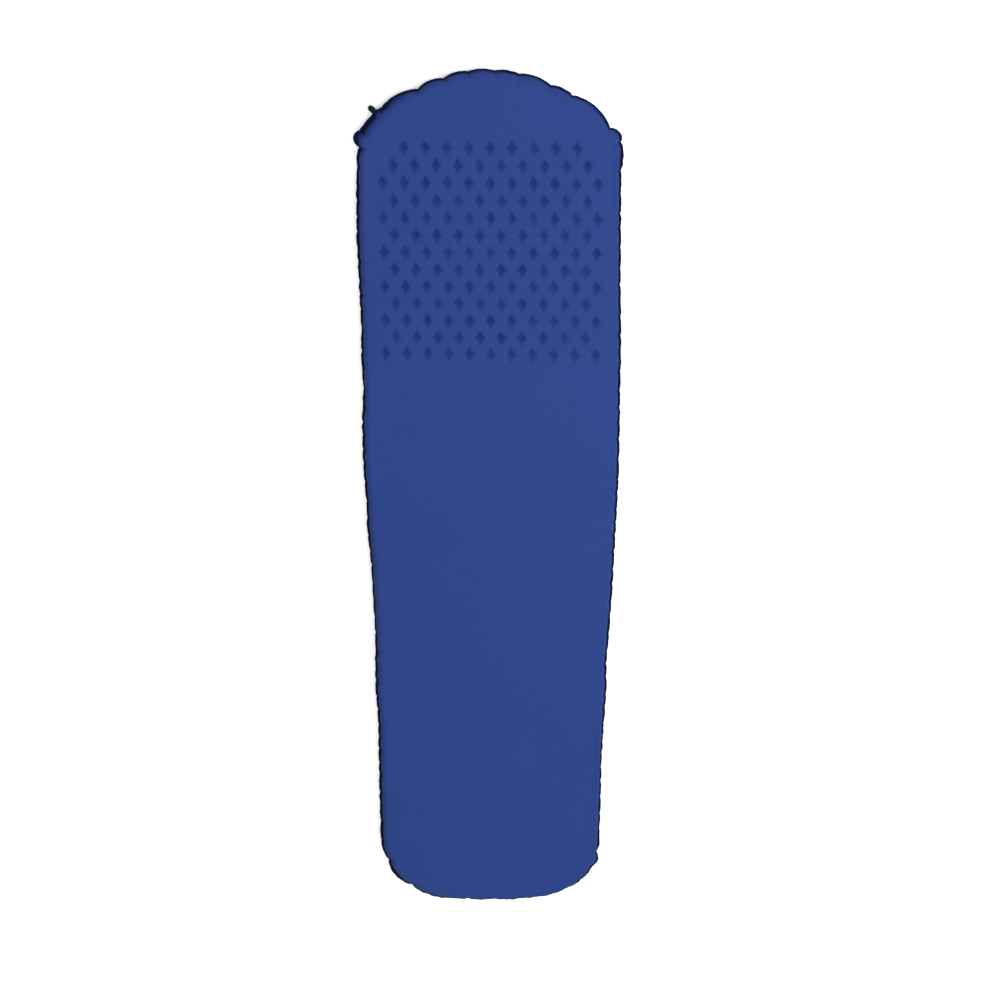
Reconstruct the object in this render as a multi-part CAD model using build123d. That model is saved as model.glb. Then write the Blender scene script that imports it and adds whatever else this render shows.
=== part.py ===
from build123d import *
import math
import os

# Self-inflating camping mattress, lying flat and inflated, in millimetres.
# X is across, +Y is towards the head, +Z is up. The origin is under the middle of the pad, on the ground.

# ---- Driving dimensions: the pad seen from above ----
LENGTH = 1830.0
HEAD_RADIUS = 300.0  # the head end is one arc
SHOULDER_WIDTH = 502.0  # where the head's arc meets the sides
HIP_WIDTH = 510.0  # the widest stretch
HIP_FROM_HEAD = 480.0
HIP_STRETCH = 350.0
KNEE_WIDTH = 484.0
KNEE_FROM_HEAD = 1190.0
FOOT_WIDTH = 463.0
FOOT_RADIUS = 1000.0  # the foot end is a shallow arc
SHOULDER_BLEND = 40.0
SIDE_BLEND = 1500.0
FOOT_BLEND = 150.0

# ---- Driving dimensions: the pad's layers ----
THICKNESS = 25.0
EDGE_ROUND = 9.0  # how softly the faces turn down to the seam
FLANGE_WIDTH = 6.0  # the welded band outside the pad's wall
FLANGE_THICKNESS = 2.4
COVER_WALL = 0.8
FILM_WALL = 0.8
RIM_GAP = 0.2  # between one layer's rim and the next

# ---- Driving dimensions: the die-cut cells of the foam's head end ----
CELL_WIDTH = 19.0
CELL_LENGTH = 31.0
CELL_PITCH_ACROSS = 41.0
CELL_PITCH_ALONG = 34.6
CELL_ROWS = 13
CELL_SIDE_MARGIN = 30.0  # rim left beside the long rows
FIRST_ROW_FROM_HEAD = 148.0
HOLLOW_DEPTH = 0.4  # how far the cover dips over a cell

# ---- Driving dimensions: the valve, in distances outwards along its axis from the rim ----
VALVE_FROM_SHOULDER = 61.7  # round the head's arc from its left end
TONGUE_LENGTH = 9.0  # how far the fabric follows the neck
TONGUE_FLARE = 10.0
TONGUE_LIP = 1.5
ROOT_RADIUS = 4.3
ROOT_SHOULDER = 0.4  # root left bare outside the fabric tongue
NECK_RADIUS = 3.7
NECK_MARGIN = 0.35  # neck left beyond the cap's ring when the cap is open
BORE_RADIUS = 2.4
BOAT_HALF_WIDTH = 22.0
BOAT_HALF_HEIGHT = 2.6
BOAT_DEPTH = 7.5
BOAT_SETBACK = 1.7  # from the film's upright wall
WELD_RIB_HEIGHT = 0.4
WELD_RIB_WIDTH = 1.5
WELD_RIBS = 3
GALLERY_GAP = 1.8  # from the foam guard to the foam, which is cut straight across behind the valve

# ---- Driving dimensions: the twist cap, its thread and seals ----
THREAD_PITCH = 2.5
THREAD_DEPTH = 0.5
THREAD_ROOT_WIDTH = 1.1
THREAD_CREST_WIDTH = 0.6
THREAD_EMBED = 0.1
NECK_THREAD_TURNS = 1.4
CAP_THREAD_TURNS = 0.8
THREAD_CLEARANCE = 0.2  # between crests and roots
CAP_START_GAP = 0.4  # from the root's shoulder to the cap's skirt
CAP_TOP_GAP = 0.3  # over the end of the neck
CAP_WALL = 1.0
CAP_TOP_WALL = 0.8
CAP_EDGE = 0.4
RIB_HEIGHT = 0.4
RIB_WIDTH = 0.9
RIBS = 18
MOUTHPIECE_RADIUS = 4.2
MOUTHPIECE_LENGTH = 3.2
MOUTHPIECE_EDGE = 0.35
MOUTH_RADIUS = 2.6
SEAT_RADIUS = 2.0
SEAT_LENGTH = 1.2
SEAL_SECTION = 1.0  # diameter of the ring that the cap carries
SEAL_RUNNING_GAP = 0.05
SEAL_FROM_THREAD = 0.25

# ---- Driving dimensions: the plug in the mouth of the neck ----
POST_RADIUS = 0.9
PLUG_RADIUS = 1.55
PLUG_LENGTH = 1.6
PLUG_SEAL_SECTION = 0.8
SPIDER_FROM_NECK_END = 6.5
SPIDER_DEPTH = 1.5
SPIDER_ARM_WIDTH = 0.8
SPIDER_ARMS = 3

# ---- Driving dimensions: the foam guard on the inner end of the valve ----
SCREEN_PLATE = 1.2
SCREEN_RIM_WALL = 0.6
SCREEN_RIM_LENGTH = 1.6
SCREEN_TO_BOAT = 0.4
SCREEN_HOLE_RADIUS = 0.65
SCREEN_HOLE_CIRCLE = 1.6
SCREEN_OUTER_HOLES = 6

# ---- Worked out from the sizes above ----
SEAM_Z = THICKNESS / 2
HEAD_Y = LENGTH / 2
HEAD_CENTRE_Y = HEAD_Y - HEAD_RADIUS
SLEEVE_RADIUS = ROOT_RADIUS + COVER_WALL
BOAT_OUTER_END = -(FLANGE_WIDTH + COVER_WALL + FILM_WALL + RIM_GAP + BOAT_SETBACK)
BOAT_INNER_END = BOAT_OUTER_END - BOAT_DEPTH
ROOT_INNER_END = BOAT_INNER_END - SCREEN_TO_BOAT - SCREEN_RIM_LENGTH
FOAM_TRIM = ROOT_INNER_END - SCREEN_PLATE - GALLERY_GAP
ROOT_OUTER_END = TONGUE_LENGTH + ROOT_SHOULDER
CREST_RADIUS = NECK_RADIUS + THREAD_DEPTH
CAP_BORE = CREST_RADIUS + THREAD_CLEARANCE
CAP_RADIUS = CAP_BORE + CAP_WALL
CAP_START = ROOT_OUTER_END + CAP_START_GAP
NECK_THREAD_START = CAP_START + THREAD_ROOT_WIDTH / 2
NECK_THREAD_END = NECK_THREAD_START + NECK_THREAD_TURNS * THREAD_PITCH + THREAD_ROOT_WIDTH / 2
CAP_THREAD_START = CAP_START + THREAD_ROOT_WIDTH / 2 + THREAD_EMBED
SEAL_CENTRE = NECK_THREAD_END + SEAL_FROM_THREAD + SEAL_SECTION / 2
SEAL_RING_RADIUS = NECK_RADIUS + SEAL_RUNNING_GAP + SEAL_SECTION / 2
NECK_END = SEAL_CENTRE + SEAL_SECTION / 2 + THREAD_PITCH + NECK_MARGIN  # one turn opens the cap
CAP_CEILING = NECK_END + CAP_TOP_GAP
CAP_SHOULDER = CAP_CEILING + CAP_TOP_WALL
CAP_END = CAP_SHOULDER + MOUTHPIECE_LENGTH
PLUG_START = CAP_CEILING
PLUG_SEAL_CENTRE = PLUG_START + SEAT_LENGTH / 2
PLUG_SEAL_RING_RADIUS = SEAT_RADIUS - SEAL_RUNNING_GAP - PLUG_SEAL_SECTION / 2

azimuth = math.pi / 2 + math.asin(SHOULDER_WIDTH / 2 / HEAD_RADIUS) - VALVE_FROM_SHOULDER / HEAD_RADIUS
outwards = (math.cos(azimuth), math.sin(azimuth), 0)
along_rim = (math.sin(azimuth), -math.cos(azimuth), 0)
rim_point = (HEAD_RADIUS * outwards[0], HEAD_CENTRE_Y + HEAD_RADIUS * outwards[1], SEAM_Z)
valve_frame = Plane(origin=rim_point, x_dir=along_rim, z_dir=outwards).location


def at_valve(shape):
    """Carry a shape drawn along +Z from the rim to its place on the valve's axis."""
    return valve_frame * shape


def rod(radius, start, end):
    """A cylinder on the valve's axis, from one distance to another."""
    return Pos(0, 0, start) * Cylinder(radius, end - start, align=(Align.CENTER, Align.CENTER, Align.MIN))


def tube(outer, inner, start, end):
    """A round sleeve on the valve's axis."""
    return rod(outer, start, end) - rod(inner, start, end)


def ring(ring_radius, section, centre):
    """A round-section sealing ring on the valve's axis."""
    return Pos(0, 0, centre) * Torus(ring_radius, section / 2)


# ---- Outline ----
def pad_plan():
    """The welded rim seen from above: round head, widest at the hips, narrower shallow-curved foot."""
    shoulder_x = SHOULDER_WIDTH / 2
    foot_x = FOOT_WIDTH / 2
    shoulder = (shoulder_x, HEAD_CENTRE_Y + math.sqrt(HEAD_RADIUS**2 - shoulder_x**2))
    hip_top = (HIP_WIDTH / 2, HEAD_Y - HIP_FROM_HEAD)
    hip_low = (HIP_WIDTH / 2, HEAD_Y - HIP_FROM_HEAD - HIP_STRETCH)
    knee = (KNEE_WIDTH / 2, HEAD_Y - KNEE_FROM_HEAD)
    foot = (foot_x, FOOT_RADIUS - HEAD_Y - math.sqrt(FOOT_RADIUS**2 - foot_x**2))
    right = [shoulder, hip_top, hip_low, knee, foot]
    left = [(-x, y) for x, y in right]
    edges = Curve() + [
        ThreePointArc(left[0], (0, HEAD_Y), right[0]),
        Polyline(*right),
        ThreePointArc(right[-1], (0, -HEAD_Y), left[-1]),
        Polyline(*left),
    ]
    plan = make_face(edges)
    blends = [SHOULDER_BLEND, SIDE_BLEND, SIDE_BLEND, SIDE_BLEND, FOOT_BLEND]
    for corner, blend in zip(right, blends):
        pair = [v for v in plan.vertices() if math.hypot(abs(v.X) - corner[0], v.Y - corner[1]) < 0.01]
        plan = fillet(pair, blend)
    return plan


def tongue_plan():
    """The tongue of welded fabric that follows the valve's neck, with hollow flanks."""
    half = SLEEVE_RADIUS + TONGUE_LIP
    base = TONGUE_LENGTH - TONGUE_FLARE
    wide = half + TONGUE_FLARE
    edges = Curve() + [
        CenterArc((-wide, TONGUE_LENGTH), TONGUE_FLARE, 0, -90),
        Polyline((-wide, base), (-wide, -FLANGE_WIDTH), (wide, -FLANGE_WIDTH), (wide, base)),
        CenterArc((wide, TONGUE_LENGTH), TONGUE_FLARE, 180, 90),
        Line((half, TONGUE_LENGTH), (-half, TONGUE_LENGTH)),
    ]
    return Pos(rim_point[0], rim_point[1]) * Rot(0, 0, math.degrees(azimuth) - 90) * make_face(edges)


rim_plan = pad_plan()


def half_pad(depth, gap=0.0):
    """The upper half of the pad at a depth under the cover's face: flat on top, rounded down to the seam."""
    plan = offset(rim_plan, amount=-(FLANGE_WIDTH + depth + gap))
    block = extrude(Pos(0, 0, SEAM_Z) * plan, amount=SEAM_Z - depth)
    return fillet(block.faces().sort_by(Axis.Z)[-1].edges(), EDGE_ROUND - depth)


def turned_under(shape):
    """The same shape below the seam."""
    return mirror(shape, about=Plane.XY.offset(SEAM_Z))


# ---- Foam cells ----
def cell_centres():
    """Centres of the die-cut cells: long and short rows by turns, the first row without its two ends."""
    centres = []
    half_row = SHOULDER_WIDTH / 2 - CELL_SIDE_MARGIN - CELL_WIDTH / 2
    cells_in_long_row = 1 + 2 * math.floor(half_row / CELL_PITCH_ACROSS)
    for row in range(CELL_ROWS):
        count = cells_in_long_row - row % 2
        cells = range(1, count - 1) if row == 0 else range(count)
        y = HEAD_Y - FIRST_ROW_FROM_HEAD - row * CELL_PITCH_ALONG
        centres += [((cell - (count - 1) / 2) * CELL_PITCH_ACROSS, y) for cell in cells]
    return centres


def cell_prisms(bottom, height):
    """Upright diamond prisms, one for each cell."""
    half_width = CELL_WIDTH / 2
    half_length = CELL_LENGTH / 2
    diamond = make_face(
        Polyline((0, half_length), (half_width, 0), (0, -half_length), (-half_width, 0), close=True)
    )
    cells = Sketch() + [Pos(x, y) * diamond for x, y in cell_centres()]
    return extrude(Pos(0, 0, bottom) * cells, amount=height)


# ---- Pad ----
film_depth = COVER_WALL
foam_depth = COVER_WALL + FILM_WALL
neck_way = at_valve(rod(ROOT_RADIUS, ROOT_INNER_END, ROOT_OUTER_END))
cover_sleeve = at_valve(rod(SLEEVE_RADIUS, -FLANGE_WIDTH - COVER_WALL, TONGUE_LENGTH))
upper_sleeve = split(cover_sleeve, bisect_by=Plane.XY.offset(SEAM_Z), keep=Keep.TOP)

outer_half = half_pad(0)
cover_inside = half_pad(film_depth)
film_outside = half_pad(film_depth, RIM_GAP)
film_inside = half_pad(foam_depth, RIM_GAP)
foam_half = half_pad(foam_depth, 2 * RIM_GAP)

plain_cover = outer_half + upper_sleeve - cover_inside - neck_way
plain_film = film_outside - film_inside - neck_way
top_cover = plain_cover - cell_prisms(THICKNESS - HOLLOW_DEPTH, HOLLOW_DEPTH)
bottom_cover = turned_under(plain_cover)
top_film = plain_film
bottom_film = turned_under(plain_film)

gallery = at_valve(Pos(0, 0, FOAM_TRIM) * Box(
    HEAD_RADIUS, THICKNESS, HEAD_RADIUS, align=(Align.CENTER, Align.CENTER, Align.MIN)
))
foam_core = foam_half + turned_under(foam_half) - gallery - cell_prisms(0, THICKNESS)

band_plan = rim_plan + tongue_plan() - offset(rim_plan, amount=-FLANGE_WIDTH)
edge_weld = extrude(Pos(0, 0, SEAM_Z - FLANGE_THICKNESS / 2) * band_plan, amount=FLANGE_THICKNESS)
edge_weld -= cover_sleeve


# ---- Thread ----
def thread_ridge(root, crest, start, turns):
    """A right-hand ridge round the valve's axis, standing from its root radius to its crest radius."""
    embed = math.copysign(THREAD_EMBED, root - crest)
    helix = Helix(pitch=THREAD_PITCH, height=turns * THREAD_PITCH, radius=root)
    profile = make_face(Polyline(
        (root + embed, -THREAD_ROOT_WIDTH / 2),
        (crest, -THREAD_CREST_WIDTH / 2),
        (crest, THREAD_CREST_WIDTH / 2),
        (root + embed, THREAD_ROOT_WIDTH / 2),
        close=True,
    ))
    section = Plane.XZ * profile
    return Pos(0, 0, start) * sweep(section, path=helix, is_frenet=True)


# The two ridges share one helix, half a pitch apart, so the cap's runs midway between the neck's.
cap_thread_lead = CAP_THREAD_START - NECK_THREAD_START - THREAD_PITCH / 2
cap_thread_turn = 360 * cap_thread_lead / THREAD_PITCH


# ---- Valve ----
def lens(half_width, half_height):
    """The boat's section: two shallow arcs that meet in points along the rim."""
    upper = ThreePointArc((-half_width, 0), (0, half_height), (half_width, 0))
    lower = ThreePointArc((half_width, 0), (0, -half_height), (-half_width, 0))
    return make_face(Curve() + [upper, lower])


def make_valve_body():
    """Weld boat with ribs, root and threaded neck in one moulding, with a bore right through."""
    boat = extrude(Pos(0, 0, BOAT_INNER_END) * lens(BOAT_HALF_WIDTH, BOAT_HALF_HEIGHT), amount=BOAT_DEPTH)
    rib_section = lens(BOAT_HALF_WIDTH, BOAT_HALF_HEIGHT + WELD_RIB_HEIGHT)
    rib_step = (BOAT_DEPTH - WELD_RIB_WIDTH) / (WELD_RIBS - 1)
    for rib in range(WELD_RIBS):
        start = BOAT_INNER_END + rib * rib_step
        boat += extrude(Pos(0, 0, start) * rib_section, amount=WELD_RIB_WIDTH)
    body = boat + rod(ROOT_RADIUS, ROOT_INNER_END, ROOT_OUTER_END)
    body += rod(NECK_RADIUS, ROOT_OUTER_END, NECK_END)
    body += thread_ridge(NECK_RADIUS, CREST_RADIUS, NECK_THREAD_START, NECK_THREAD_TURNS)
    return body - rod(BORE_RADIUS, ROOT_INNER_END, NECK_END)


def make_valve_screen():
    """Guard that keeps foam out of the bore: a drilled plate with a rim that clips over the root."""
    plate_start = ROOT_INNER_END - SCREEN_PLATE
    rim_radius = ROOT_RADIUS + SCREEN_RIM_WALL
    screen = rod(rim_radius, plate_start, ROOT_INNER_END)
    screen += tube(rim_radius, ROOT_RADIUS, ROOT_INNER_END, ROOT_INNER_END + SCREEN_RIM_LENGTH)
    hole = rod(SCREEN_HOLE_RADIUS, plate_start, ROOT_INNER_END)
    screen -= hole
    for place in PolarLocations(SCREEN_HOLE_CIRCLE, SCREEN_OUTER_HOLES):
        screen -= place * hole
    return screen


def make_plug_post():
    """The plug that the cap closes on: a spider pressed in the bore, a post and a grooved head."""
    spider_start = NECK_END - SPIDER_FROM_NECK_END
    arm_length = BORE_RADIUS + SPIDER_ARM_WIDTH
    on_end = (Align.MIN, Align.CENTER, Align.MIN)
    arm = Pos(0, 0, spider_start) * Box(arm_length, SPIDER_ARM_WIDTH, SPIDER_DEPTH, align=on_end)
    post = rod(POST_RADIUS, spider_start, PLUG_START + PLUG_LENGTH)
    for place in PolarLocations(0, SPIDER_ARMS):
        post += place * arm
    post &= rod(BORE_RADIUS, spider_start, PLUG_START + PLUG_LENGTH)
    post += rod(PLUG_RADIUS, PLUG_START, PLUG_START + PLUG_LENGTH)
    groove_floor = PLUG_SEAL_RING_RADIUS - PLUG_SEAL_SECTION / 2
    groove_start = PLUG_SEAL_CENTRE - PLUG_SEAL_SECTION / 2
    return post - tube(CAP_BORE, groove_floor, groove_start, groove_start + PLUG_SEAL_SECTION)


def make_valve_cap():
    """Ribbed twist cap: threaded skirt, groove for its seal, seat for the plug, and a mouthpiece."""
    skirt = rod(CAP_RADIUS, CAP_START, CAP_SHOULDER)
    skirt = chamfer(skirt.edges().filter_by(GeomType.CIRCLE), CAP_EDGE)
    mouthpiece = rod(MOUTHPIECE_RADIUS, CAP_CEILING, CAP_END)
    mouthpiece = fillet(mouthpiece.edges().filter_by(GeomType.CIRCLE).sort_by(Axis.Z)[-1], MOUTHPIECE_EDGE)
    cap = skirt + mouthpiece
    rib_start = CAP_START + 2 * CAP_EDGE
    rib_length = CAP_SHOULDER - CAP_EDGE - rib_start
    rib_size = (2 * RIB_HEIGHT, RIB_WIDTH, rib_length)
    rib = Pos(CAP_RADIUS, 0, rib_start) * Box(*rib_size, align=(Align.CENTER, Align.CENTER, Align.MIN))
    for place in PolarLocations(0, RIBS):
        cap += place * rib
    cap -= rod(CAP_BORE, CAP_START, CAP_CEILING)
    cap -= rod(SEAT_RADIUS, CAP_CEILING, CAP_CEILING + SEAT_LENGTH)
    cap -= rod(MOUTH_RADIUS, CAP_CEILING + SEAT_LENGTH, CAP_END)
    groove_radius = SEAL_RING_RADIUS + SEAL_SECTION / 2 + SEAL_RUNNING_GAP
    groove_half = SEAL_SECTION / 2 + SEAL_RUNNING_GAP
    cap -= rod(groove_radius, SEAL_CENTRE - groove_half, SEAL_CENTRE + groove_half)
    ridge = thread_ridge(CAP_BORE, NECK_RADIUS + THREAD_CLEARANCE, CAP_THREAD_START, CAP_THREAD_TURNS)
    return cap + Rot(0, 0, cap_thread_turn) * ridge


parts = {
    "top_cover": top_cover,
    "top_film": top_film,
    "foam_core": foam_core,
    "bottom_film": bottom_film,
    "bottom_cover": bottom_cover,
    "edge_weld": edge_weld,
    "valve_body": at_valve(make_valve_body()),
    "valve_screen": at_valve(make_valve_screen()),
    "plug_post": at_valve(make_plug_post()),
    "plug_seal": at_valve(ring(PLUG_SEAL_RING_RADIUS, PLUG_SEAL_SECTION, PLUG_SEAL_CENTRE)),
    "neck_seal": at_valve(ring(SEAL_RING_RADIUS, SEAL_SECTION, SEAL_CENTRE)),
    "valve_cap": at_valve(make_valve_cap()),
}

os.makedirs("parts", exist_ok=True)
for name, shape in parts.items():
    export_step(shape, f"parts/{name}.step")
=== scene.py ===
"""Looks of a self-inflating camping mattress: its skins, welded rim, valve, and a plain studio.

Every length is in metres. X is across the pad, +Y is towards its head, +Z is up, and the origin is under the
middle of the pad on the ground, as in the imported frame. Distances round the rim run clockwise from the head tip.
"""

from __future__ import annotations

import logging
import math
from dataclasses import dataclass
from enum import Enum

import bmesh
import bpy
import numpy as np
from mathutils import Matrix, Vector


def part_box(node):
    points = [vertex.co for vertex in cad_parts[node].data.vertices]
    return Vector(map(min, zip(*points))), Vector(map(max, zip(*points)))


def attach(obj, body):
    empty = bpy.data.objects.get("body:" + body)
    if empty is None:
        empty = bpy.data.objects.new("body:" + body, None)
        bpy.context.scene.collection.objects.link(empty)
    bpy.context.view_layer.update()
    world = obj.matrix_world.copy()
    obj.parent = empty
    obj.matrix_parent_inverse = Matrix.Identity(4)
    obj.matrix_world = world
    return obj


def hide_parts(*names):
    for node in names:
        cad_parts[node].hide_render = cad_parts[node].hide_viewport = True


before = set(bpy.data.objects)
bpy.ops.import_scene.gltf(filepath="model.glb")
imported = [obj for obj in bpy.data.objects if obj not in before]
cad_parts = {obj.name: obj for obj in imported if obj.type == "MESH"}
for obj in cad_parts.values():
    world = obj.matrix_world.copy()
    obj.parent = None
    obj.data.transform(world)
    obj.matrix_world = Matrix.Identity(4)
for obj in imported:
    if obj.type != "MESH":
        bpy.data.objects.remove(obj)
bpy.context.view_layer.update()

log = logging.getLogger("mattress")
MM = 0.001


# ---------------------------------------------------------------------------------------------------------------
# Plan of the pad
# ---------------------------------------------------------------------------------------------------------------
def arc_points(centre: np.ndarray, radius: float, start: float, end: float, step: float) -> np.ndarray:
    """Points on an arc: centre plus radius times (cos a, sin a), with a running evenly from start to end.

    Args:
        centre: The arc's centre, x and y.
        radius: Its radius.
        start: First angle in radians.
        end: Last angle in radians.
        step: Largest distance between points.

    Returns:
        An array of points, one row each.
    """
    count = max(2, int(abs(end - start) * radius / step) + 1)
    angle = np.linspace(start, end, count)
    return np.c_[centre[0] + radius * np.cos(angle), centre[1] + radius * np.sin(angle)]


def smooth(low: float, high: float, value: np.ndarray) -> np.ndarray:
    """Smoothstep: 0 at low, 1 at high, 3t^2 - 2t^3 between them."""
    t = np.clip((value - low) / (high - low), 0.0, 1.0)
    return t * t * (3.0 - 2.0 * t)


@dataclass(frozen=True)
class PadPlan:
    """The welded rim seen from above: round head, widest at the hips, narrower shallow-curved foot."""

    length: float = 1.830
    head_radius: float = 0.300
    shoulder_width: float = 0.502
    hip_width: float = 0.510
    hip_from_head: float = 0.480
    hip_stretch: float = 0.350
    knee_width: float = 0.484
    knee_from_head: float = 1.190
    foot_width: float = 0.463
    foot_radius: float = 1.000
    shoulder_blend: float = 0.040
    side_blend: float = 1.500
    foot_blend: float = 0.150
    step: float = 0.0005

    def _arc_to_line(
        self, centre: np.ndarray, radius: float, corner: np.ndarray, far: np.ndarray, blend: float
    ) -> tuple[np.ndarray, np.ndarray, np.ndarray]:
        """Fillet inside an arc and a straight side.

        The fillet's centre is blend away from the side and radius - blend from the arc's centre.

        Args:
            centre: Centre of the arc.
            radius: Radius of the arc.
            corner: Where the arc and the side meet.
            far: The side's other end.
            blend: Radius of the fillet.

        Returns:
            The fillet's centre, its end on the side, and its end on the arc.
        """
        along = (far - corner) / np.linalg.norm(far - corner)
        inward = np.array([along[1], -along[0]])
        inward *= -np.sign(inward[0])
        base = corner + blend * inward - centre
        half = base @ along
        root = math.sqrt(half * half - (base @ base - (radius - blend) ** 2))
        shift = min((-half - root, -half + root), key=lambda t: abs(t) if t > 0 else 9.0)
        middle = corner + blend * inward + shift * along
        return middle, corner + shift * along, centre + (middle - centre) * radius / (radius - blend)

    def right_half(self) -> np.ndarray:
        """Points down the right-hand half of the rim, from the head tip to the foot tip."""
        top = self.length / 2
        head = np.array([0.0, top - self.head_radius])
        foot = np.array([0.0, self.foot_radius - top])
        shoulder_x, foot_x = self.shoulder_width / 2, self.foot_width / 2
        corners = [
            np.array([shoulder_x, head[1] + math.sqrt(self.head_radius**2 - shoulder_x**2)]),
            np.array([self.hip_width / 2, top - self.hip_from_head]),
            np.array([self.hip_width / 2, top - self.hip_from_head - self.hip_stretch]),
            np.array([self.knee_width / 2, top - self.knee_from_head]),
            np.array([foot_x, foot[1] - math.sqrt(self.foot_radius**2 - foot_x**2)]),
        ]

        def angle(point: np.ndarray, centre: np.ndarray) -> float:
            """Direction from a centre to a point."""
            return math.atan2(point[1] - centre[1], point[0] - centre[0])

        middle, on_side, on_arc = self._arc_to_line(head, self.head_radius, corners[0], corners[1], self.shoulder_blend)
        runs = [
            arc_points(head, self.head_radius, math.pi / 2, angle(on_arc, head), self.step),
            arc_points(middle, self.shoulder_blend, angle(on_arc, middle), angle(on_side, middle), self.step),
        ]
        for before, here, after in zip(corners, corners[1:], corners[2:]):
            u = (here - before) / np.linalg.norm(here - before)
            v = (after - here) / np.linalg.norm(after - here)
            turn = math.acos(min(1.0, float(u @ v)))
            side = 1.0 if u[0] * v[1] - u[1] * v[0] < 0 else -1.0
            inward = side * np.array([u[1], -u[0]])
            centre = here - u * self.side_blend * math.tan(turn / 2) + inward * self.side_blend
            start = math.atan2(-inward[1], -inward[0])
            runs.append(arc_points(centre, self.side_blend, start, start - side * turn, self.step))
        middle, on_side, on_arc = self._arc_to_line(foot, self.foot_radius, corners[4], corners[3], self.foot_blend)
        runs.append(arc_points(middle, self.foot_blend, angle(on_side, middle), angle(on_arc, middle), self.step))
        runs.append(arc_points(foot, self.foot_radius, angle(on_arc, foot), -math.pi / 2, self.step))
        return np.vstack(runs)


class Rim:
    """The rim as a function of the distance round it: a point, and the direction out of the pad."""

    def __init__(self, plan: PadPlan) -> None:
        """Mirror the right half of the plan and measure distances along it.

        Args:
            plan: The pad's plan.
        """
        half = plan.right_half()
        loop = np.vstack([half, half[-2::-1] * (-1.0, 1.0)])
        steps = np.linalg.norm(np.diff(loop, axis=0), axis=1)
        keep = np.r_[True, steps > 1e-7]
        loop = loop[keep]
        self.distance = np.r_[0.0, np.cumsum(np.linalg.norm(np.diff(loop, axis=0), axis=1))]
        self.loop = loop
        self.around = float(self.distance[-1])
        tangent = np.gradient(loop, self.distance, axis=0)
        heading = np.unwrap(np.arctan2(tangent[:, 1], tangent[:, 0]))
        heading[0], heading[-1] = 0.0, -2 * math.pi
        self.heading = heading

    def at(self, s: np.ndarray) -> tuple[np.ndarray, np.ndarray]:
        """Points of the rim and unit vectors out of the pad, at distances s round it.

        Args:
            s: Distances clockwise from the head tip; any whole number of turns may be added.

        Returns:
            Points and outward directions, one row each.
        """
        s = np.mod(s, self.around)
        point = np.c_[np.interp(s, self.distance, self.loop[:, 0]), np.interp(s, self.distance, self.loop[:, 1])]
        heading = np.interp(s, self.distance, self.heading)
        return point, np.c_[-np.sin(heading), np.cos(heading)]

    def nearest(self, x: float, y: float) -> float:
        """Distance round the rim of the point nearest to (x, y)."""
        return float(self.distance[np.argmin(np.hypot(self.loop[:, 0] - x, self.loop[:, 1] - y))])


# ---------------------------------------------------------------------------------------------------------------
# How the rim puckers
# ---------------------------------------------------------------------------------------------------------------
@dataclass(frozen=True)
class Notch:
    """A place where the rim is gathered, and the swell of the lobe that follows it, in millimetres outwards."""

    at: float
    drawn: float
    crown: float


HEAD_NOTCHES: tuple[Notch, ...] = (
    Notch(-312.0, -2.6, 10.8),
    Notch(-281.0, 6.6, 7.8),
    Notch(-217.0, 5.6, 6.4),
    Notch(-143.0, -4.8, 1.2),
    Notch(-89.0, -4.2, 2.4),
    Notch(-41.0, -0.4, 2.4),
    Notch(9.0, -1.8, 1.8),
    Notch(55.0, -2.4, 1.0),
    Notch(119.0, -5.6, -0.2),
    Notch(165.0, -4.0, 5.2),
    Notch(261.0, -4.4, 5.4),
    Notch(297.0, -2.2, 1.6),
    Notch(353.0, -3.2, -2.0),
)
FOOT_NOTCHES: tuple[Notch, ...] = (
    Notch(1832.0, -1.8, -1.0),
    Notch(1866.0, -5.6, 4.4),
    Notch(1904.0, -0.6, 0.4),
    Notch(1948.0, -1.0, -1.4),
    Notch(1990.0, -5.6, -3.2),
    Notch(2018.0, -4.6, -3.4),
    Notch(2053.0, -4.9, -1.4),
    Notch(2092.0, -2.3, 0.6),
    Notch(2150.0, -0.6, 1.8),
    Notch(2207.0, -0.3, 3.2),
    Notch(2243.0, 2.8, 5.0),
    Notch(2292.0, 3.2, 3.8),
    Notch(2334.0, -0.6, 7.8),
    Notch(2417.0, -0.8, 3.8),
    Notch(2470.0, 3.2, 4.6),
)
# Distance round the rim and how far out the sides drift there, in millimetres.
SIDE_DRIFT: tuple[tuple[float, float], ...] = (
    (353, -2.8), (600, -2.0), (670, 0.4), (765, 1.1), (1000, 1.6), (1260, 2.6), (1350, 1.0), (1400, -1.4),
    (1480, 0.8), (1570, -2.4), (1650, -3.8), (1750, -2.0), (1800, -2.6), (2480, 3.6), (2565, 3.0), (2765, -1.0),
    (2845, 1.8), (2955, -2.6), (3135, -3.4), (3205, 0.0), (3265, -2.0), (3365, 1.0), (3445, 0.6), (3505, -3.6),
    (3565, -0.8), (3645, -2.4), (3765, 2.0), (3825, 4.4), (3925, 3.6), (3975, 1.5),
)
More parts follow.
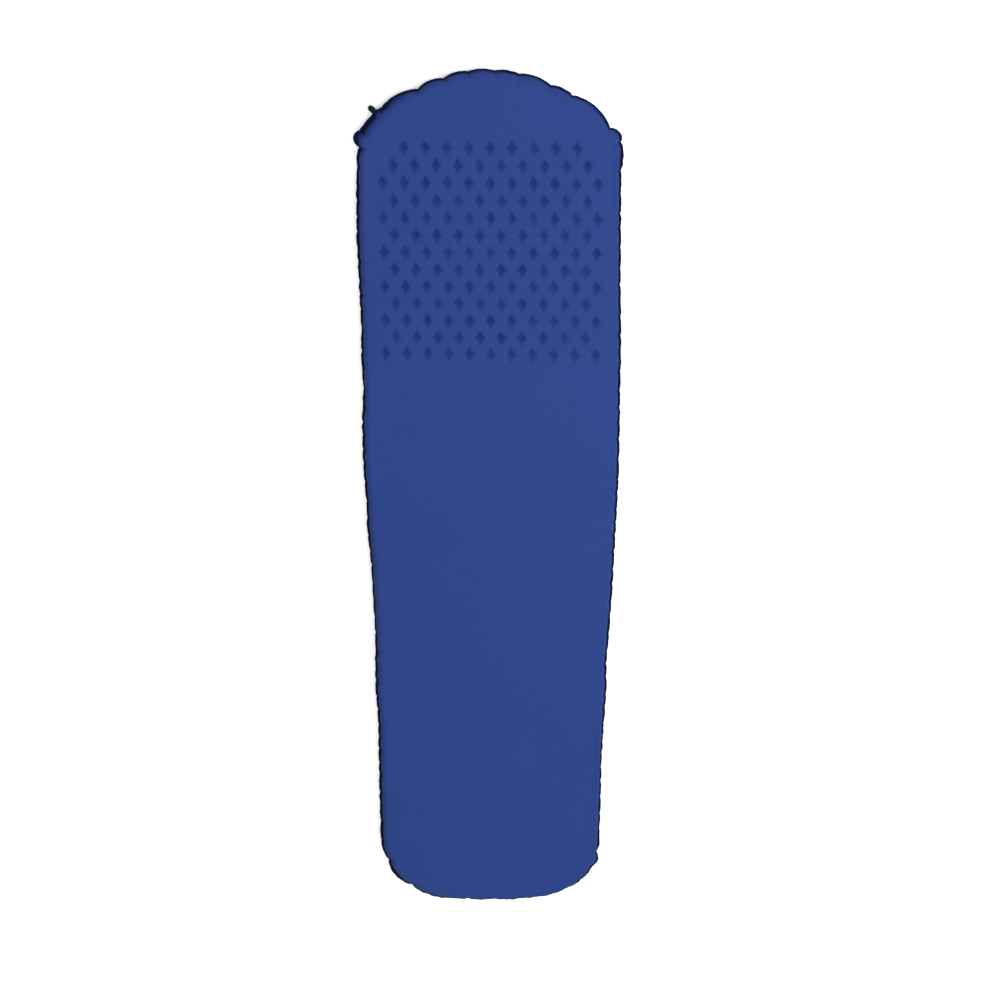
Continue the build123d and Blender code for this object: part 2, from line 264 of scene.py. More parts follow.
# Distance round the rim and the width of its dark edge there, in millimetres: partly the dark fused seam and partly
# painted shade, wider where the rim turns away from the light.
DARK_EDGE: tuple[tuple[float, float], ...] = (
    (0, 4.0), (262, 4.2), (290, 6.0), (330, 6.6), (365, 4.8), (900, 4.4), (1700, 3.8), (1850, 4.2), (2150, 3.2),
    (2280, 4.4), (2400, 7.6), (2500, 7.0), (2900, 5.8), (3600, 5.4), (3975, 5.4), (4002, 8.0), (4036, 12.0),
    (4058, 10.0), (4072, 8.6), (4100, 8.0), (4130, 6.0), (4165, 4.6), (4313, 4.0),
)
SIDE_SPACING: tuple[float, float] = (25.0, 46.0)  # between the notches along the sides, in millimetres
CRINKLE = 0.55 * MM  # how far the small crinkles move the free edge
CELL_STRETCH: tuple[float, float] = (0.27, 0.83)  # distances from the head tip beside the cells
FINE_STEP, COARSE_STEP, LEAST_CUTS = 0.0031, 0.0047, 6  # how closely a lobe is sampled
VALVE_CLEAR = 0.019  # lobes give way to the valve's own samples this near its axis


class Pucker:
    """How far the welded rim swells or is drawn in all the way round, and where its creases run inwards."""

    def __init__(self, rim: Rim, foot_notches: tuple[Notch, ...], seed: int = 41) -> None:
        """Lay out the notches: set ones at the head and the foot, and seeded spacings along the two sides.

        Args:
            rim: The rim they stand on.
            foot_notches: The notches of the foot end.
            seed: Seed of the side spacings.
        """
        rng = np.random.default_rng(seed)
        drift = np.array(SIDE_DRIFT)
        placed = [(n.at % (rim.around / MM), n.drawn, n.crown) for n in (*HEAD_NOTCHES, *foot_notches)]
        first_foot, last_foot = foot_notches[0].at, foot_notches[-1].at
        for start, end in ((HEAD_NOTCHES[-1].at, first_foot), (last_foot, rim.around / MM + HEAD_NOTCHES[0].at)):
            spots = [start]
            while spots[-1] < end:
                spots.append(spots[-1] + rng.uniform(*SIDE_SPACING))
            spots = start + (np.array(spots) - start) * (end - start) / (spots[-1] - start)
            for a, b in zip(spots[1:-1], spots[2:]):
                level = float(np.interp(a, drift[:, 0], drift[:, 1]))
                next_level = float(np.interp((a + b) / 2, drift[:, 0], drift[:, 1]))
                placed.append((a, level - rng.uniform(0.5, 1.3), next_level + rng.uniform(0.3, 0.9)))
        placed.sort()
        table = np.array(placed)
        self.around = rim.around
        self.at = table[:, 0] * MM
        self.drawn = table[:, 1] * MM
        self.crown = table[:, 2] * MM
        count = len(self.at)
        self.reach = rng.uniform(0.010, 0.024, count)
        self.depth = rng.uniform(0.5, 1.0, count)
        gap = np.diff(np.r_[self.at, self.at[0] + self.around])
        bold = np.clip((gap - 0.025) / 0.03, 0.0, 1.0)
        self.reach += 0.012 * bold
        self.lean = rng.uniform(-0.25, 0.25, count)
        self.gap = gap
        self.ripples = [
            (round(self.around / rng.uniform(0.009, 0.026)), rng.uniform(0, 2 * math.pi), rng.uniform(0.4, 1.0))
            for _ in range(14)
        ]
        self.waves = [
            (round(self.around / rng.uniform(0.035, 0.110)), rng.uniform(0, 2 * math.pi), rng.uniform(0.5, 1.0))
            for _ in range(8)
        ]

    def _lobe(self, s: np.ndarray) -> tuple[np.ndarray, np.ndarray]:
        """Which lobe each distance is in, and how far along it, from 0 to 1."""
        s = np.mod(s, self.around)
        index = np.searchsorted(self.at, s, side="right") - 1
        along = np.mod(s - self.at[index], self.around) / self.gap[index]
        return index % len(self.at), along

    def arch(self, s: np.ndarray) -> np.ndarray:
        """0 at a notch and 1 at the crown of a lobe: sin(pi t) to the power 0.7."""
        return np.sin(math.pi * np.clip(self._lobe(s)[1], 0.0, 1.0)) ** 0.7

    def swell(self, s: np.ndarray) -> np.ndarray:
        """How far out the rim's edge lies: a straight line from notch to notch, plus an arch up to the crown."""
        index, along = self._lobe(s)
        after = (index + 1) % len(self.at)
        line = self.drawn[index] * (1 - along) + self.drawn[after] * along
        middle = (self.drawn[index] + self.drawn[after]) / 2
        return line + (self.crown[index] - middle) * self.arch(s) + CRINKLE * self.fine(s)

    def _dark_width(self, s: np.ndarray) -> np.ndarray:
        """Width of the dark edge, straight between the entries of its table."""
        table = np.array(DARK_EDGE) * MM
        return np.interp(np.mod(s, self.around), table[:, 0], table[:, 1])

    def dark(self, s: np.ndarray, from_edge: np.ndarray) -> np.ndarray:
        """Where the rim is dark, partly the dark fused seam and partly painted shade where the rim turns away from the
        light: 1 near the free edge, falling to 0 over a soft line.

        Args:
            s: Distances round the rim.
            from_edge: Distances in from the free edge.

        Returns:
            The mask, the same shape as from_edge.
        """
        width = self._dark_width(s) * (1.0 + 0.18 * self.wave(s) + 0.12 * self.fine(s))
        soft = 0.0007 + 0.40 * np.maximum(width - 0.0055, 0.0)
        return 1.0 - smooth(-1.0, 1.0, (from_edge - width) / soft)

    def shade(self, s: np.ndarray, from_edge: np.ndarray) -> np.ndarray:
        """Painted shade on the turn-down by the rim: most at the dark edge and none on the flat, more on the left.

        Args:
            s: Distances round the rim.
            from_edge: Distances in from the free edge.

        Returns:
            The mask, the same shape as from_edge.
        """
        width = self._dark_width(s)
        strength = 0.22 + 22.0 * np.clip(width - 0.003, 0.0, 0.012)
        return strength * (1.0 - smooth(0.0, 1.0, (from_edge - width) / 0.017)) ** 1.5

    def fine(self, s: np.ndarray) -> np.ndarray:
        """Small crinkles: a sum of sines that close round the rim, about 1 at most."""
        turn = 2 * math.pi * s / self.around
        return sum(size * np.sin(count * turn + phase) for count, phase, size in self.ripples) / 4.0

    def wave(self, s: np.ndarray) -> np.ndarray:
        """Slow rise and fall of the free edge, about 1 at most."""
        turn = 2 * math.pi * s / self.around
        return sum(size * np.sin(count * turn + phase) for count, phase, size in self.waves) / 3.0

    def crease(self, s: np.ndarray, inward: np.ndarray) -> np.ndarray:
        """Depth of the creases that run in from the notches, 1 at most.

        Each is a Gaussian valley across its own line, which widens and leans as it runs in, times a smooth fade
        over its reach.

        Args:
            s: Distances round the rim.
            inward: How far inside the rim, the same shape as s.

        Returns:
            Crease depths, the same shape as s.
        """
        depth = np.zeros(np.broadcast(s, inward).shape)
        index, along = self._lobe(s)
        for step in (0, 1):
            k = (index + step) % len(self.at)
            off = (along - step) * self.gap[index]
            centre = self.lean[k] * inward
            width = 0.0022 + 0.11 * inward
            fade = 1.0 - smooth(0.0, 1.0, (inward - 0.004) / self.reach[k])
            depth = np.maximum(depth, self.depth[k] * fade * np.exp(-(((off - centre) / width) ** 2)))
        return depth


# ---------------------------------------------------------------------------------------------------------------
# Cells of the foam, as the skins show them
# ---------------------------------------------------------------------------------------------------------------
@dataclass(frozen=True)
class CellField:
    """The upright diamonds that are die-cut in the foam's head end, into which the skins sink."""

    half_width: float = 0.0103
    half_length: float = 0.0167
    pitch_across: float = 0.041
    pitch_along: float = 0.0346
    rows: int = 13
    long_row: int = 11
    first_y: float = 0.767

    def local(self, x: np.ndarray, y: np.ndarray) -> tuple[np.ndarray, np.ndarray, np.ndarray, np.ndarray]:
        """Where points stand in their nearest cell.

        Rows alternate between long_row cells and one fewer, and the first row lacks its two ends.

        Args:
            x: Across the pad.
            y: Along the pad.

        Returns:
            The row number, the cell's x, the offset along y, and a mask that is 1 where there is a cell.
        """
        row = np.clip(np.round((self.first_y - y) / self.pitch_along), 0, self.rows - 1)
        shift = np.where(row % 2 == 1, 0.5, 0.0)
        column = np.round(x / self.pitch_across - shift) + shift
        most = np.where(row == 0, self.long_row // 2 - 1, self.long_row // 2 - shift)
        there = np.abs(column) <= most + 0.01
        return row, column * self.pitch_across, y - (self.first_y - row * self.pitch_along), there.astype(float)

    def sink(self, x: np.ndarray, y: np.ndarray, seed: int = 7) -> np.ndarray:
        """How far a skin sinks: 1 in the middle of a cell and 0 outside, by the diamond distance |x|/a + |y|/b.

        Args:
            x: Across the pad.
            y: Along the pad.
            seed: Seed of the small differences between the cells.

        Returns:
            Depths about 1 at most, the same shape as x.
        """
        row, cell_x, off_y, there = self.local(x, y)
        rng = np.random.default_rng(seed)
        spread = rng.uniform(-1.0, 1.0, (4, self.rows, 2 * self.long_row + 1))
        column = np.round(2 * cell_x / self.pitch_across).astype(int) + self.long_row
        pick = spread[:, row.astype(int), np.clip(column, 0, 2 * self.long_row)]
        u = (x - cell_x - 0.0006 * pick[0]) / self.half_width
        v = (off_y - 0.0008 * pick[1]) / self.half_length
        reach = np.abs(u) + np.abs(v)
        bowl = 1.0 - smooth(0.25, 1.22, reach)
        cross = np.exp(-((np.minimum(np.abs(u * self.half_width), np.abs(v * self.half_length)) / 0.0016) ** 2))
        cross *= 1.0 - smooth(0.3, 1.25, reach)
        return there * (bowl * (1.0 + 0.2 * pick[2]) + 0.16 * (1.0 + pick[3]) * cross)


# ---------------------------------------------------------------------------------------------------------------
# Meshes
# ---------------------------------------------------------------------------------------------------------------
def grid_quads(rings: int, columns: int) -> np.ndarray:
    """Quads of a grid whose columns close on themselves: ring r joins ring r + 1, column c joins c + 1."""
    ring, column = np.meshgrid(np.arange(rings - 1), np.arange(columns), indexing="ij")
    after = (column + 1) % columns
    corners = (ring * columns + column, (ring + 1) * columns + column, (ring + 1) * columns + after,
               ring * columns + after)
    return np.stack(corners, axis=-1).reshape(-1, 4)


def make_piece(
    name: str, points: np.ndarray, quads: np.ndarray, uv: np.ndarray | None = None,
    masks: dict[str, np.ndarray] | None = None, flip: bool = False,
) -> bpy.types.Object:
    """A smooth-shaded mesh object from whole arrays.

    Args:
        name: The object's name.
        points: Vertex places, one row each.
        quads: Vertex numbers of each face.
        uv: A fabric map in metres, one row for each vertex.
        masks: Named numbers, one for each vertex.
        flip: Turn the faces round.

    Returns:
        The new object, linked to the scene.
    """
    if flip:
        quads = quads[:, ::-1]
    mesh = bpy.data.meshes.new(name)
    mesh.from_pydata(points.tolist(), [], quads.tolist())
    if uv is not None:
        layer = mesh.uv_layers.new(name="fabric")
        corner = np.empty(len(mesh.loops), dtype=np.int32)
        mesh.loops.foreach_get("vertex_index", corner)
        layer.data.foreach_set("uv", uv[corner].astype(np.float32).ravel())
    for mask, values in (masks or {}).items():
        mesh.attributes.new(mask, "FLOAT", "POINT").data.foreach_set("value", values.astype(np.float32))
    mesh.polygons.foreach_set("use_smooth", np.ones(len(mesh.polygons), dtype=bool))
    mesh.validate()
    mesh.update()
    piece = bpy.data.objects.new(name, mesh)
    bpy.context.scene.collection.objects.link(piece)
    return piece


def merge_doubles(piece: bpy.types.Object, distance: float = 2e-6) -> None:
    """Join vertices that share a place, such as the two sides of a seam, and drop faces that this flattens.

    Args:
        piece: The mesh object.
        distance: Vertices nearer than this become one.
    """
    work = bmesh.new()
    work.from_mesh(piece.data)
    bmesh.ops.remove_doubles(work, verts=work.verts, dist=distance)
    bmesh.ops.dissolve_degenerate(work, edges=work.edges, dist=distance / 2)
    work.to_mesh(piece.data)
    work.free()
    piece.data.update()


class Side(Enum):
    """The two skins of the pad, by the way they face."""

    FACE = 1.0
    UNDERSIDE = -1.0


@dataclass
class ValveSpot:
    """Where the valve's axis crosses the rim."""

    rim: Rim
    at: float
    sleeve: float = 0.0051
    skirt: float = 0.0100
    tongue: float = 0.0090
    tongue_half: float = 0.0066
    flare: float = 0.0100

    def across(self, s: np.ndarray) -> np.ndarray:
        """Signed distance along the rim from the valve's axis."""
        return np.mod(s - self.at + self.rim.around / 2, self.rim.around) - self.rim.around / 2

    def bulge(self, s: np.ndarray) -> np.ndarray:
        """Half-height of the fabric round the neck: sleeve times (1 - (t/skirt)^2)^1.5, a round top with a skirt."""
        t = np.clip(self.across(s) / self.skirt, -1.0, 1.0)
        return self.sleeve * (1.0 - t * t) ** 1.5

    def reach(self, s: np.ndarray) -> np.ndarray:
        """How far the tongue stands out of the rim: its full length over its width, then two hollow quarter arcs."""
        t = np.abs(self.across(s))
        fall = np.clip((self.tongue_half + self.flare - t) / self.flare, 0.0, 1.0)
        return np.where(fall > 0.0, self.tongue - self.flare * np.sqrt(1.0 - fall**2), -1.0)

    def nearness(self, s: np.ndarray, inner: float, outer: float) -> np.ndarray:
        """1 within inner of the axis, 0 beyond outer, smooth between."""
        return 1.0 - smooth(inner, outer, np.abs(self.across(s)))


def rim_samples(pucker: Pucker, valve: ValveSpot, dense: tuple[float, float]) -> np.ndarray:
    """Distances round the rim at which the skins are sampled.

    Each lobe is cut evenly in a blend of its length and of a cosine, so that samples crowd at the notches, and the
    stretch round the valve's tongue is cut finely.

    Args:
        pucker: The lobes.
        valve: The valve's place.
        dense: Distance from the head tip, on either side, between which samples stand closer for the cells.

    Returns:
        Increasing distances, less than one turn.
    """
    around = pucker.around
    cuts: list[np.ndarray] = []
    for start, gap in zip(pucker.at, pucker.gap):
        middle = (start + gap / 2) % around
        from_tip = min(middle, around - middle)
        step = FINE_STEP if dense[0] < from_tip < dense[1] else COARSE_STEP
        count = max(LEAST_CUTS, int(math.ceil(gap / step)))
        t = np.arange(count) / count
        t = 0.68 * t + 0.32 * (1 - np.cos(math.pi * t)) / 2
        cuts.append(start + t * gap)
    s = np.concatenate(cuts)
    clear = np.abs(valve.across(s)) > VALVE_CLEAR
    near = valve.at + np.r_[np.linspace(-0.0185, -0.0073, 12), np.linspace(-0.0066, 0.0066, 15),
                            np.linspace(0.0073, 0.0185, 12)]
    return np.unique(np.round(np.mod(np.r_[s[clear], near], around), 7))


# ---------------------------------------------------------------------------------------------------------------
# Skins and rim
# ---------------------------------------------------------------------------------------------------------------
@dataclass
class PadSkin:
    """One laminated skin of the pad: flat over the foam, rounded down to the seam, with a lip on the welded rim."""

    side: Side
    rim: Rim
    pucker: Pucker
    valve: ValveSpot
    cells: CellField
    seam_z: float = 0.0125
    half_thickness: float = 0.0125
    wall: float = 0.0060
    upright: float = 0.0035
    rounding: float = 0.0090
    valve_rounding: float = 0.0190
    skin: float = 0.0008
    dimple: float = 0.0026
    crown: float = 0.0005
    give: float = 0.0011
    under_cells: float = 1.3
    cells_begin: tuple[float, float] = (0.290, 0.330)
    spine: tuple[float, float] = (-0.800, 0.770)
    rim_zone: float = 0.034
    inner_rings: int = 50
    name: str = ""

    def _rounding(self, s: np.ndarray) -> np.ndarray:
        """Width of the turn-down, wider by the valve where no foam backs the skin."""
        near = self.valve.nearness(s, 0.030, 0.085)
        return self.rounding + (self.valve_rounding - self.rounding) * near

    def _section(self, s: np.ndarray, depth: float) -> tuple[np.ndarray, np.ndarray, np.ndarray]:
        """The skin's section at each distance round the rim, from the flat out to the lip.

        Flat out to the turn-down, a quarter ellipse down to the upright wall, and for the outer surface a small
        hollow fillet out on to the rim band.

        Args:
            s: Distances round the rim.
            depth: How far under the outer surface.

        Returns:
            Inward distances, heights over the seam, and distances unrolled from the flat, each rings by samples.
        """
        width = (self._rounding(s) - depth)[None, :]
        height = self.half_thickness - self.upright - depth
        wall = self.wall + depth
        flat = np.array([1.0, 0.80, 0.62, 0.45, 0.30, 0.16, 0.05])[:, None]
        flat_d = wall + width + flat * (self.rim_zone - wall - width)
        angle = np.radians(np.array([90, 79, 68, 57, 46, 35, 24, 12, 0.0]))[:, None]
        arc_d = wall + width * (1 - np.cos(angle))
        arc_h = self.upright + height * np.sin(angle) + np.zeros_like(arc_d)
        inward = np.vstack([flat_d, arc_d])
        up = np.vstack([np.full_like(flat_d, self.upright + height), arc_h])
        if depth == 0.0:
            foot = np.array([[0.00600, 0.0024], [0.00572, 0.0016], [0.00515, 0.00115], [0.00430, 0.00095]])
        else:
            foot = np.array([[wall, 0.0024], [wall, 0.0002]])
        inward = np.vstack([inward, np.repeat(foot[:, :1], len(s), axis=1)])
        up = np.vstack([up, np.repeat(foot[:, 1:], len(s), axis=1)])
        step = np.hypot(np.diff(inward, axis=0), np.diff(up, axis=0))
        unrolled = np.vstack([np.zeros(len(s)), np.cumsum(step, axis=0)])
        return inward, up, unrolled

    def _surface(self, s: np.ndarray, depth: float, rings: int) -> tuple[np.ndarray, np.ndarray, np.ndarray]:
        """Points of one surface of the skin, from the spine out to the seam.

        The middle is ruled from the spine to the rim zone. Both sides meet the spine at the same evenly spaced
        stops, so that it closes without a gap. The rim zone follows the section, then swells with the
        rim's lobes, bulges between the creases and sinks along them. The outer surface sinks into the cells, and
        the inner one lies lower over the whole stretch of cells, so that the outer one never meets it.

        Args:
            s: Distances round the rim.
            depth: How far under the outer surface, 0 for the outer one.
            rings: How many rings the middle has.

        Returns:
            Points rings by samples by 3, the fabric map rings by samples by 2, and distances in from the free edge.
        """
        edge, out = self.rim.at(s)
        inward, up, unrolled = self._section(s, depth)
        start = edge - out * self.rim_zone
        mesh_step = self.cells.pitch_along / 6
        stops = np.round((self.cells.first_y - np.clip(start[:, 1], *self.spine)) / mesh_step)
        target = np.c_[np.zeros(len(s)), self.cells.first_y - stops * mesh_step]
        t = np.linspace(0.0, 1.0, rings, endpoint=False)[:, None, None]
        middle = target[None] + t * (start - target)[None]
        zone = edge[None] - inward[:, :, None] * out[None]
        plan = np.concatenate([middle, zone])
        fabric = np.concatenate([middle, start[None] + unrolled[:, :, None] * out[None]])
        from_rim = np.linalg.norm(start - target, axis=1)[None] * (1 - t[:, :, 0]) + self.rim_zone
        inward = np.concatenate([from_rim, inward])
        height = np.concatenate([np.full(from_rim.shape, self.half_thickness - depth), up])

        swell = self.pucker.swell(s)[None]
        fade = 1.0 - smooth(0.006, 0.030, inward)
        outwards = np.clip(swell, -1.0 * MM, 3.2 * MM) * fade
        arch = self.pucker.arch(s)[None]
        rise = smooth(0.0, self.half_thickness, height)
        wall = (1.0 - smooth(0.007, 0.030, inward)) * smooth(0.004, 0.0065, inward)
        outwards = outwards + wall * (1.0 * MM * (arch - 0.35) + 0.2 * MM * self.pucker.fine(s)[None])
        crease = self.pucker.crease(np.broadcast_to(s, inward.shape), inward)
        outwards = outwards - crease * 1.1 * MM * (1.0 - smooth(0.008, 0.022, inward)) * smooth(0.004, 0.006, inward)
        lift = (0.5 * MM * wall * (arch - 0.4) - crease * 1.3 * MM) * rise
        drawn_in = np.hypot(np.minimum(outwards, 0.0), np.minimum(lift, 0.0)) + 1e-9
        held = np.minimum(1.0, self.give / drawn_in)
        outwards = np.where(outwards < 0, outwards * held, outwards)
        height = height + np.where(lift < 0, lift * held, lift)

        x, y = plan[..., 0], plan[..., 1]
        sink = self.cells.sink(x, y) * smooth(0.014, 0.024, inward)
        below = self.under_cells * self.dimple * smooth(0.020, 0.034, inward) * smooth(*self.cells_begin, y)
        drop = self.dimple * sink if depth == 0.0 else below
        height = height - drop
        height = height + self.crown * smooth(0.012, 0.090, inward) - self.crown * 0.4
        height = height + self._slow(x, y) * smooth(0.020, 0.060, inward)
        bulge = self.valve.bulge(s)[None] + (0.00012 if depth == 0.0 else -self.skin)
        height = np.where(inward < 0.020, np.maximum(height, bulge), height)
        if self.side is Side.UNDERSIDE:
            height = np.minimum(height, self.half_thickness - depth)

        band = self.pucker.wave(s)[None] * 0.9 * MM * (1.0 - smooth(0.0042, 0.0075, inward))
        plan = plan + outwards[..., None] * out[None]
        z = self.seam_z + self.side.value * height + band
        points = np.concatenate([plan, z[..., None]], axis=-1)
        return points, fabric, inward - outwards + swell

    def _slow(self, x: np.ndarray, y: np.ndarray) -> np.ndarray:
        """Slow unevenness of the flat, and a few faint fold lines across it, within 0.5 mm."""
        low = 0.16 * np.sin(17 * x + 3.1 * y + 0.6) + 0.14 * np.sin(9.3 * y - 11 * x + 2.0)
        low = low + 0.10 * np.sin(31 * y + 14 * x) * np.cos(23 * x - 1.2)
        folds = ((0.413, -0.245, -0.165, 0.05), (0.355, -0.245, -0.175, -0.03), (0.470, 0.150, 0.250, 0.04),
                 (-0.248, 0.110, 0.225, 0.14), (-0.256, 0.070, 0.175, 0.10))
        for middle, left, right, slope in folds:
            line = middle + slope * (x - (left + right) / 2)
            span = smooth(left - 0.03, left, x) * (1 - smooth(right, right + 0.03, x))
            low = low + 0.42 * span * np.exp(-(((y - line) / 0.0032) ** 2))
        return low * MM

    def build(self, s: np.ndarray) -> bpy.types.Object:
        """Make the closed shell: the outer surface from the spine out to the lip, then the inner one back.

        Args:
            s: Distances round the rim.

        Returns:
            The skin.
        """
        outer, fabric, from_edge = self._surface(s, 0.0, self.inner_rings)
        inner, inner_fabric, inner_edge = self._surface(s, self.skin, 9)
        keep = np.r_[np.arange(0, 9), 9, 12, 15, 17, 19, 21, 23, inner.shape[0] - 2, inner.shape[0] - 1]
        inner, inner_fabric, inner_edge = inner[keep][::-1], inner_fabric[keep][::-1], inner_edge[keep][::-1]
        points = np.concatenate([outer, inner]).reshape(-1, 3)
        uv = np.concatenate([fabric, inner_fabric]).reshape(-1, 2)
        rings, columns = outer.shape[0] + inner.shape[0], len(s)
        from_edge = np.concatenate([from_edge, inner_edge])
        # Dark edge mask: partly the dark fused seam and partly painted shade where the rim turns away from the light.
        edge_dark_and_shade = self.pucker.dark(s, from_edge)
        # Painted shade on the turn-down by the rim, stronger on the left.
        shade = self.pucker.shade(s, from_edge)
        piece = make_piece(
            self.name, points, grid_quads(rings, columns), uv, {"edge_dark_and_shade": edge_dark_and_shade.ravel(), "rim_shade": shade.ravel()},
            flip=self.side is Side.FACE,
        )
        merge_doubles(piece)
        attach(piece, "pad")
        return piece


@dataclass
class RimBand:
    """The fused band round the pad, with its embossed weld lines, and the tongue that wraps the valve's neck."""

    rim: Rim
    pucker: Pucker
    valve: ValveSpot
    seam_z: float = 0.0125
    inner_edge: float = 0.0066
    half_weld: float = 0.00080
    half_edge: float = 0.00042
    lift: float = 0.0011
    drawn_limit: float = 5.6 * MM

    def build(self, s: np.ndarray) -> bpy.types.Object:
        """Carry the band's section round the rim: embossed top, rounded free edge, embossed underside.

        Args:
            s: Distances round the rim.

        Returns:
            The band.
        """
        edge, out = self.rim.at(s)
        across = np.array([0.0, 0.12, 0.22, 0.30, 0.38, 0.46, 0.54, 0.62, 0.70, 0.80, 0.90, 0.965, 1.0])
        emboss = np.array([1.0, 1.0, 0.98, 0.72, 0.98, 0.72, 0.98, 0.72, 0.98, 0.92, 0.86, 0.62, 0.0])
        reach = np.maximum(np.maximum(self.pucker.swell(s), -self.drawn_limit), self.valve.reach(s))
        inner = self.inner_edge + np.zeros(len(s))
        place = -inner[None] + across[:, None] * (reach + inner)[None]
        thick = self.half_weld + (self.half_edge - self.half_weld) * smooth(0.45, 0.9, across)
        thick = (thick * emboss)[:, None] + np.zeros(len(s))[None]
        body = np.where(emboss > 0, 1.0, 0.0)[:, None]
        end = np.sqrt(np.clip(1 - np.clip((across - 0.93) / 0.07, 0, 1) ** 2, 0, 1))[:, None]
        thick = np.maximum(thick, self.valve.bulge(s)[None] * body * end)
        free = smooth(0.15, 1.0, across)[:, None]
        calm = 1.0 - self.valve.nearness(s, 0.008, 0.024)[None]
        lift = self.lift * free * calm * (self.pucker.wave(s)[None] + 0.8 * (self.pucker.arch(s)[None] - 0.5))
        lift = lift + self.pucker.wave(s)[None] * 0.9 * MM * (1 - free)
        curl = 0.5 * MM * free**2 * calm * self.pucker.fine(s)[None]
        centre = self.seam_z + lift + curl
        plan = edge[None] + place[..., None] * out[None]
        top = np.concatenate([plan, (centre + thick)[..., None]], axis=-1)
        bottom = np.concatenate([plan, (centre - thick)[..., None]], axis=-1)[-2::-1]
        loop = np.concatenate([top, bottom, top[:1]])
        uv = np.concatenate([plan, plan[-2::-1], plan[:1]]).reshape(-1, 2)
        # Dark edge of the band: partly the dark fused seam and partly painted shade.
        edge_dark_and_shade = self.pucker.dark(s, (1.0 - across[:, None]) * (reach + inner)[None])
        edge_dark_and_shade = np.concatenate([edge_dark_and_shade, np.ones_like(edge_dark_and_shade[1:]), edge_dark_and_shade[:1]])
        piece = make_piece("rim_band", loop.reshape(-1, 3), grid_quads(len(loop), len(s)), uv,
                           {"edge_dark_and_shade": edge_dark_and_shade.ravel()}, flip=True)
        merge_doubles(piece)
        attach(piece, "pad")
        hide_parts("edge_weld")
        return piece


# ---------------------------------------------------------------------------------------------------------------
# Shader building
# ---------------------------------------------------------------------------------------------------------------
Colour = tuple[float, float, float]


class Graph:
    """A small helper that adds nodes to a tree and wires them."""

    def __init__(self, tree: bpy.types.NodeTree) -> None:
        """Start on a tree.

        Args:
            tree: The node tree to add to.
        """
        self.tree = tree

    def add(self, kind: str, settings: dict | None = None, **inputs: object) -> bpy.types.Node:
        """Add a node.

        Args:
            kind: The node's type name.
            settings: Its properties.
            **inputs: Input values or sockets by name, with underscores for spaces; in0, in1 go by number.

        Returns:
            The node.
        """
        node = self.tree.nodes.new(kind)
        for key, value in (settings or {}).items():
            setattr(node, key, value)
        for key, value in inputs.items():
            socket = node.inputs[int(key[2:])] if key[:2] == "in" and key[2:].isdigit() else (
                node.inputs[key.replace("_", " ")])
            if isinstance(value, bpy.types.NodeSocket):
                self.tree.links.new(value, socket)
            else:
                socket.default_value = value
        return node

    def math(self, operation: str, *values: object) -> bpy.types.NodeSocket:
        """A Math node's output, from values or sockets."""
        inputs = {f"in{i}": value for i, value in enumerate(values)}
        return self.add("ShaderNodeMath", {"operation": operation}, **inputs).outputs[0]

    def ramp(self, value: object, low: float, high: float, to_low: float = 0.0, to_high: float = 1.0) -> (
            bpy.types.NodeSocket):
        """A smooth Map Range from low..high to to_low..to_high."""
        node = self.add("ShaderNodeMapRange", {"interpolation_type": "SMOOTHSTEP"}, in0=value, in1=low, in2=high,
                        in3=to_low, in4=to_high)
        return node.outputs[0]

    def bump(self, height: object, strength: float, distance: float, under: object = None) -> bpy.types.NodeSocket:
        """A Bump node's normal, on top of another where given."""
        node = self.add("ShaderNodeBump", None, Strength=strength, Distance=distance, Height=height)
        if under is not None:
            self.tree.links.new(under, node.inputs["Normal"])
        return node.outputs[0]

    def mix(self, factor: object, first: object, second: object) -> bpy.types.NodeSocket:
        """A colour mix."""
        node = self.tree.nodes.new("ShaderNodeMix")
        node.data_type = "RGBA"
        for index, value in ((0, factor), (6, first), (7, second)):
            if isinstance(value, bpy.types.NodeSocket):
                self.tree.links.new(value, node.inputs[index])
            else:
                node.inputs[index].default_value = (*value, 1.0) if isinstance(value, tuple) else value
        return node.outputs[2]


def new_group(
    name: str, inputs: dict[str, tuple[str, object]], outputs: dict[str, str]
) -> tuple[Graph, bpy.types.Node, bpy.types.Node]:
    """A shader node group with named sockets.

    Args:
        name: The group's name.
        inputs: Socket type and default value by name.
        outputs: Socket type by name.

    Returns:
        The graph in the group, its input node and its output node.
    """
    tree = bpy.data.node_groups.new(name, "ShaderNodeTree")
    for label, (kind, default) in inputs.items():
        socket = tree.interface.new_socket(label, in_out="INPUT", socket_type=kind)
        if default is not None:
            socket.default_value = default
    for label, kind in outputs.items():
        tree.interface.new_socket(label, in_out="OUTPUT", socket_type=kind)
    return Graph(tree), tree.nodes.new("NodeGroupInput"), tree.nodes.new("NodeGroupOutput")


FLOAT, VECTOR = "NodeSocketFloat", "NodeSocketVector"


